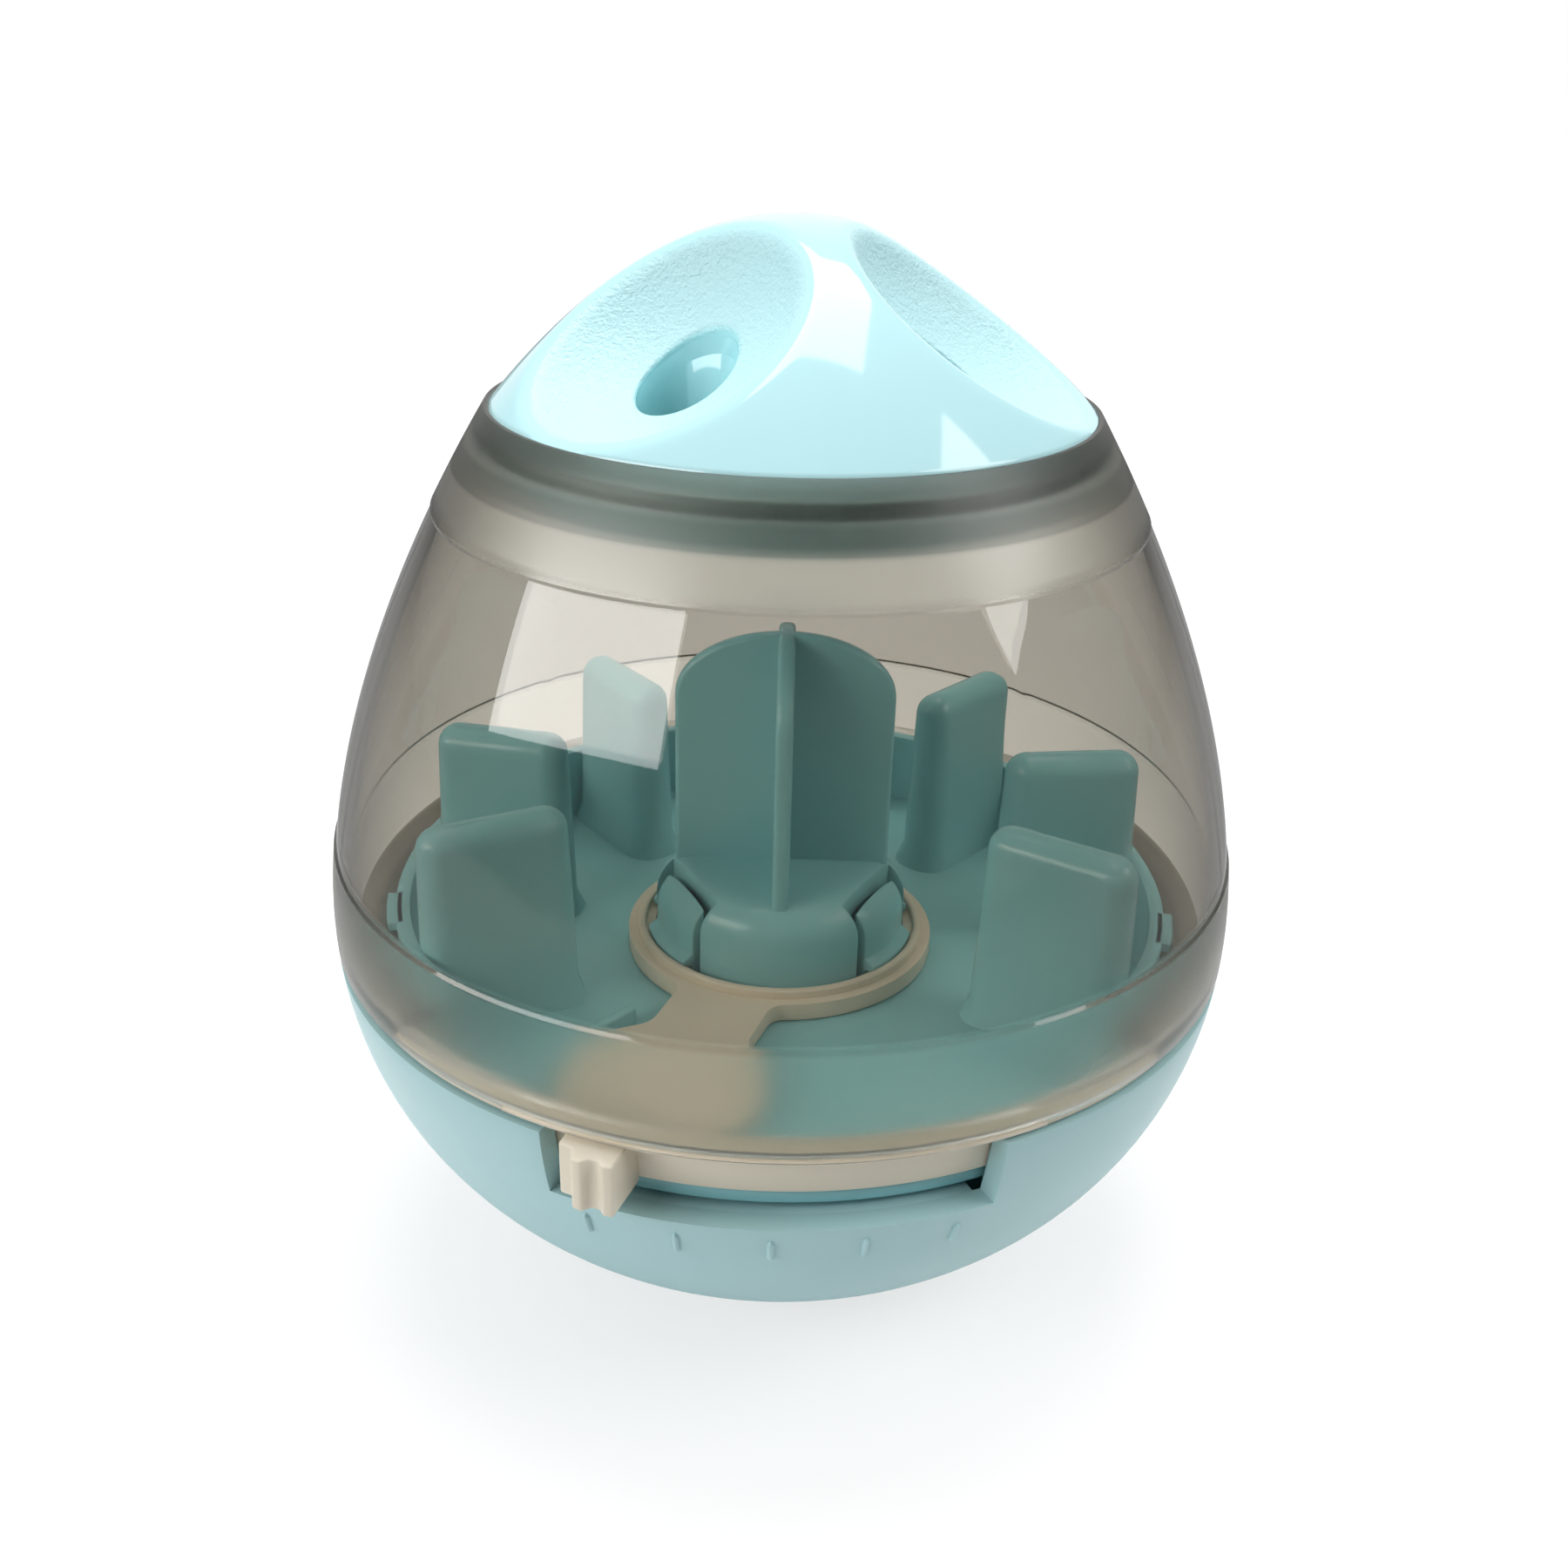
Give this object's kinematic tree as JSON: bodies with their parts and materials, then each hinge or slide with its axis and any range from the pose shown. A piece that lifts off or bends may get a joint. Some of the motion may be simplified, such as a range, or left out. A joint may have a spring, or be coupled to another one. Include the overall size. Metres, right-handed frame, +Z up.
{
  "type": "treat dispensing ball",
  "caption": "Round-bottomed egg-shaped pet tumbler that drops treats: weighted bowl with a side lever, clear shell over a finned maze plate, and a domed cap with scooped outlets.",
  "frame": {"origin": "middle of the flat foot under the ball, on the surface it stands on", "axes": "+Z up through the cap, -Y towards the lever slot, +X to the right of someone facing the slot"},
  "size_m": [0.12, 0.1201, 0.1386],
  "materials": {
    "cap": "gloss dome, finely textured dishes",
    "shell": "smoked clear plastic with two frosted bands",
    "maze": "satin",
    "regulator": "satin",
    "base": "satin",
    "iron": "as cast",
    "steel": "plated"
  },
  "bodies": {
    "base": {"base_bowl": "base", "counterweight": "iron", "weight_cover": "base", "weight_screws": "steel"},
    "maze": {"maze_plate": "maze", "centre_post": "maze", "post_screw": "steel"},
    "lever": {"regulator": "regulator"},
    "top": {"clear_shell": "shell", "cap": "cap"}
  },
  "joints": [
    {"name": "maze_lift", "type": "slide", "parent": "base", "child": "maze", "axis": [0, 0, 1], "range_m": [0, 0.03]},
    {"name": "lever_turn", "type": "hinge", "parent": "maze", "child": "lever", "pos_m": [0, 0, 0.042], "axis": [0, 0, 1], "range_deg": [-2.2, 40.8]},
    {"name": "shell_lift", "type": "slide", "parent": "maze", "child": "top", "axis": [0, 0, 1], "range_m": [0, 0.06]}
  ]
}
